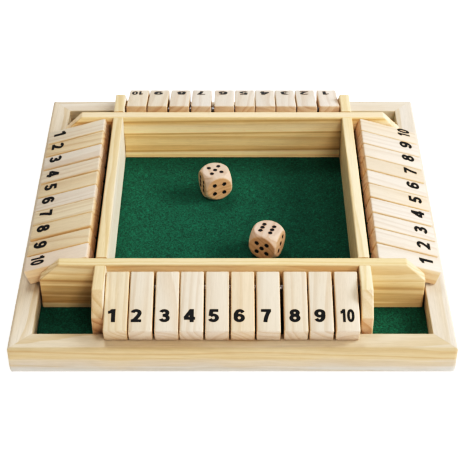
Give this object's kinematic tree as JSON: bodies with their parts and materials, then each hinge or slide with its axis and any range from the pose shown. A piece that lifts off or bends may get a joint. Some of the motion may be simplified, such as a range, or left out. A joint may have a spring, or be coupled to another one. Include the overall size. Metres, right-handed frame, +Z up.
{
  "type": "shut the box game",
  "caption": "Four-player shut the box game: a square wooden frame with a felt floor, a dice tray inside four crossed boards, rows of number tiles that flip over on steel rods, and loose dice.",
  "frame": {"origin": "centre of the square frame's footprint, on the surface that it stands on", "axes": "+Z up, +X to the right and +Y to the back as the picture shows it, each along two of the frame's sides"},
  "size_m": [0.225, 0.225, 0.0356],
  "materials": {
    "frame_pine": "sanded, clear satin lacquer",
    "board_pine": "sanded, clear satin lacquer",
    "tile_pine": "sanded, clear satin lacquer, printed numbers",
    "base_plywood": "raw thin plywood",
    "green_felt": "dark green felt",
    "rod_steel": "drawn steel wire",
    "die_beech": "tumbled beech with black painted pips"
  },
  "bodies": {
    "box": {"front_rail": "frame_pine", "right_rail": "frame_pine", "back_rail": "frame_pine", "left_rail": "frame_pine", "base_panel": "base_plywood", "felt_sheet": "green_felt", "front_board": "board_pine", "right_board": "board_pine", "back_board": "board_pine", "left_board": "board_pine", "front_rod": "rod_steel", "right_rod": "rod_steel", "back_rod": "rod_steel", "left_rod": "rod_steel"},
    "front_tile_01": {"front_tile_01": "tile_pine"},
    "front_tile_02": {"front_tile_02": "tile_pine"},
    "front_tile_03": {"front_tile_03": "tile_pine"},
    "front_tile_04": {"front_tile_04": "tile_pine"},
    "front_tile_05": {"front_tile_05": "tile_pine"},
    "front_tile_06": {"front_tile_06": "tile_pine"},
    "front_tile_07": {"front_tile_07": "tile_pine"},
    "front_tile_08": {"front_tile_08": "tile_pine"},
    "front_tile_09": {"front_tile_09": "tile_pine"},
    "front_tile_10": {"front_tile_10": "tile_pine"},
    "right_tile_01": {"right_tile_01": "tile_pine"},
    "right_tile_02": {"right_tile_02": "tile_pine"},
    "right_tile_03": {"right_tile_03": "tile_pine"},
    "right_tile_04": {"right_tile_04": "tile_pine"},
    "right_tile_05": {"right_tile_05": "tile_pine"},
    "right_tile_06": {"right_tile_06": "tile_pine"},
    "right_tile_07": {"right_tile_07": "tile_pine"},
    "right_tile_08": {"right_tile_08": "tile_pine"},
    "right_tile_09": {"right_tile_09": "tile_pine"},
    "right_tile_10": {"right_tile_10": "tile_pine"},
    "back_tile_01": {"back_tile_01": "tile_pine"},
    "back_tile_02": {"back_tile_02": "tile_pine"},
    "back_tile_03": {"back_tile_03": "tile_pine"},
    "back_tile_04": {"back_tile_04": "tile_pine"},
    "back_tile_05": {"back_tile_05": "tile_pine"},
    "back_tile_06": {"back_tile_06": "tile_pine"},
    "back_tile_07": {"back_tile_07": "tile_pine"},
    "back_tile_08": {"back_tile_08": "tile_pine"},
    "back_tile_09": {"back_tile_09": "tile_pine"},
    "back_tile_10": {"back_tile_10": "tile_pine"},
    "left_tile_01": {"left_tile_01": "tile_pine"},
    "left_tile_02": {"left_tile_02": "tile_pine"},
    "left_tile_03": {"left_tile_03": "tile_pine"},
    "left_tile_04": {"left_tile_04": "tile_pine"},
    "left_tile_05": {"left_tile_05": "tile_pine"},
    "left_tile_06": {"left_tile_06": "tile_pine"},
    "left_tile_07": {"left_tile_07": "tile_pine"},
    "left_tile_08": {"left_tile_08": "tile_pine"},
    "left_tile_09": {"left_tile_09": "tile_pine"},
    "left_tile_10": {"left_tile_10": "tile_pine"},
    "die_back": {"die_back": "die_beech"},
    "die_front": {"die_front": "die_beech"}
  },
  "joints": [
    {"name": "front_flip_01", "type": "hinge", "parent": "box", "child": "front_tile_01", "pos_m": [-0.05833, -0.08071, 0.0291], "axis": [-1, 0, 0], "range_deg": [0, 141.9]},
    {"name": "front_flip_02", "type": "hinge", "parent": "box", "child": "front_tile_02", "pos_m": [-0.04589, -0.08071, 0.0291], "axis": [-1, 0, 0], "range_deg": [0, 141.9]},
    {"name": "front_flip_03", "type": "hinge", "parent": "box", "child": "front_tile_03", "pos_m": [-0.03286, -0.08071, 0.0291], "axis": [-1, 0, 0], "range_deg": [0, 141.9]},
    {"name": "front_flip_04", "type": "hinge", "parent": "box", "child": "front_tile_04", "pos_m": [-0.02047, -0.08071, 0.0291], "axis": [-1, 0, 0], "range_deg": [0, 141.9]},
    {"name": "front_flip_05", "type": "hinge", "parent": "box", "child": "front_tile_05", "pos_m": [-0.00769, -0.08071, 0.0291], "axis": [-1, 0, 0], "range_deg": [0, 141.9]},
    {"name": "front_flip_06", "type": "hinge", "parent": "box", "child": "front_tile_06", "pos_m": [0.00509, -0.08071, 0.0291], "axis": [-1, 0, 0], "range_deg": [0, 141.9]},
    {"name": "front_flip_07", "type": "hinge", "parent": "box", "child": "front_tile_07", "pos_m": [0.01792, -0.08071, 0.0291], "axis": [-1, 0, 0], "range_deg": [0, 141.9]},
    {"name": "front_flip_08", "type": "hinge", "parent": "box", "child": "front_tile_08", "pos_m": [0.03164, -0.08071, 0.0291], "axis": [-1, 0, 0], "range_deg": [0, 141.9]},
    {"name": "front_flip_09", "type": "hinge", "parent": "box", "child": "front_tile_09", "pos_m": [0.04432, -0.08071, 0.0291], "axis": [-1, 0, 0], "range_deg": [0, 141.9]},
    {"name": "front_flip_10", "type": "hinge", "parent": "box", "child": "front_tile_10", "pos_m": [0.0574, -0.08071, 0.0291], "axis": [-1, 0, 0], "range_deg": [0, 132.2]},
    {"name": "right_flip_01", "type": "hinge", "parent": "box", "child": "right_tile_01", "pos_m": [0.08071, -0.05828, 0.0291], "axis": [0, -1, 0], "range_deg": [0, 141.9]},
    {"name": "right_flip_02", "type": "hinge", "parent": "box", "child": "right_tile_02", "pos_m": [0.08071, -0.04516, 0.0291], "axis": [0, -1, 0], "range_deg": [0, 141.9]},
    {"name": "right_flip_03", "type": "hinge", "parent": "box", "child": "right_tile_03", "pos_m": [0.08071, -0.03232, 0.0291], "axis": [0, -1, 0], "range_deg": [0, 141.9]},
    {"name": "right_flip_04", "type": "hinge", "parent": "box", "child": "right_tile_04", "pos_m": [0.08071, -0.019, 0.0291], "axis": [0, -1, 0], "range_deg": [0, 141.9]},
    {"name": "right_flip_05", "type": "hinge", "parent": "box", "child": "right_tile_05", "pos_m": [0.08071, -0.00588, 0.0291], "axis": [0, -1, 0], "range_deg": [0, 141.9]},
    {"name": "right_flip_06", "type": "hinge", "parent": "box", "child": "right_tile_06", "pos_m": [0.08071, 0.00676, 0.0291], "axis": [0, -1, 0], "range_deg": [0, 141.9]},
    {"name": "right_flip_07", "type": "hinge", "parent": "box", "child": "right_tile_07", "pos_m": [0.08071, 0.01979, 0.0291], "axis": [0, -1, 0], "range_deg": [0, 141.9]},
    {"name": "right_flip_08", "type": "hinge", "parent": "box", "child": "right_tile_08", "pos_m": [0.08071, 0.03252, 0.0291], "axis": [0, -1, 0], "range_deg": [0, 141.9]},
    {"name": "right_flip_09", "type": "hinge", "parent": "box", "child": "right_tile_09", "pos_m": [0.08071, 0.04535, 0.0291], "axis": [0, -1, 0], "range_deg": [0, 141.9]},
    {"name": "right_flip_10", "type": "hinge", "parent": "box", "child": "right_tile_10", "pos_m": [0.08071, 0.05799, 0.0291], "axis": [0, -1, 0], "range_deg": [0, 132.4]},
    {"name": "back_flip_01", "type": "hinge", "parent": "box", "child": "back_tile_01", "pos_m": [0.05819, 0.08251, 0.0291], "axis": [1, 0, 0], "range_deg": [0, 148.8]},
    {"name": "back_flip_02", "type": "hinge", "parent": "box", "child": "back_tile_02", "pos_m": [0.04467, 0.08251, 0.0291], "axis": [1, 0, 0], "range_deg": [0, 148.8]},
    {"name": "back_flip_03", "type": "hinge", "parent": "box", "child": "back_tile_03", "pos_m": [0.03213, 0.08251, 0.0291], "axis": [1, 0, 0], "range_deg": [0, 148.8]},
    {"name": "back_flip_04", "type": "hinge", "parent": "box", "child": "back_tile_04", "pos_m": [0.01979, 0.08251, 0.0291], "axis": [1, 0, 0], "range_deg": [0, 148.8]},
    {"name": "back_flip_05", "type": "hinge", "parent": "box", "child": "back_tile_05", "pos_m": [0.00749, 0.08251, 0.0291], "axis": [1, 0, 0], "range_deg": [0, 148.8]},
    {"name": "back_flip_06", "type": "hinge", "parent": "box", "child": "back_tile_06", "pos_m": [-0.00504, 0.08251, 0.0291], "axis": [1, 0, 0], "range_deg": [0, 148.8]},
    {"name": "back_flip_07", "type": "hinge", "parent": "box", "child": "back_tile_07", "pos_m": [-0.01886, 0.08251, 0.0291], "axis": [1, 0, 0], "range_deg": [0, 148.8]},
    {"name": "back_flip_08", "type": "hinge", "parent": "box", "child": "back_tile_08", "pos_m": [-0.03208, 0.08251, 0.0291], "axis": [1, 0, 0], "range_deg": [0, 148.8]},
    {"name": "back_flip_09", "type": "hinge", "parent": "box", "child": "back_tile_09", "pos_m": [-0.04516, 0.08251, 0.0291], "axis": [1, 0, 0], "range_deg": [0, 148.8]},
    {"name": "back_flip_10", "type": "hinge", "parent": "box", "child": "back_tile_10", "pos_m": [-0.05765, 0.08251, 0.0291], "axis": [1, 0, 0], "range_deg": [0, 137.7]},
    {"name": "left_flip_01", "type": "hinge", "parent": "box", "child": "left_tile_01", "pos_m": [-0.08071, 0.05789, 0.0291], "axis": [0, 1, 0], "range_deg": [0, 141.9]},
    {"name": "left_flip_02", "type": "hinge", "parent": "box", "child": "left_tile_02", "pos_m": [-0.08071, 0.04486, 0.0291], "axis": [0, 1, 0], "range_deg": [0, 141.9]},
    {"name": "left_flip_03", "type": "hinge", "parent": "box", "child": "left_tile_03", "pos_m": [-0.08071, 0.03213, 0.0291], "axis": [0, 1, 0], "range_deg": [0, 141.9]},
    {"name": "left_flip_04", "type": "hinge", "parent": "box", "child": "left_tile_04", "pos_m": [-0.08071, 0.01881, 0.0291], "axis": [0, 1, 0], "range_deg": [0, 141.9]},
    {"name": "left_flip_05", "type": "hinge", "parent": "box", "child": "left_tile_05", "pos_m": [-0.08071, 0.00558, 0.0291], "axis": [0, 1, 0], "range_deg": [0, 141.9]},
    {"name": "left_flip_06", "type": "hinge", "parent": "box", "child": "left_tile_06", "pos_m": [-0.08071, -0.00695, 0.0291], "axis": [0, 1, 0], "range_deg": [0, 141.9]},
    {"name": "left_flip_07", "type": "hinge", "parent": "box", "child": "left_tile_07", "pos_m": [-0.08071, -0.01925, 0.0291], "axis": [0, 1, 0], "range_deg": [0, 141.9]},
    {"name": "left_flip_08", "type": "hinge", "parent": "box", "child": "left_tile_08", "pos_m": [-0.08071, -0.03159, 0.0291], "axis": [0, 1, 0], "range_deg": [0, 141.9]},
    {"name": "left_flip_09", "type": "hinge", "parent": "box", "child": "left_tile_09", "pos_m": [-0.08071, -0.0453, 0.0291], "axis": [0, 1, 0], "range_deg": [0, 141.9]},
    {"name": "left_flip_10", "type": "hinge", "parent": "box", "child": "left_tile_10", "pos_m": [-0.08071, -0.05784, 0.0291], "axis": [0, 1, 0], "range_deg": [0, 132.1]},
    {"name": "die_back_lift", "type": "slide", "parent": "box", "child": "die_back", "axis": [0, 0, 1], "range_m": [0, 0.06]},
    {"name": "die_front_lift", "type": "slide", "parent": "box", "child": "die_front", "axis": [0, 0, 1], "range_m": [0, 0.06]}
  ]
}
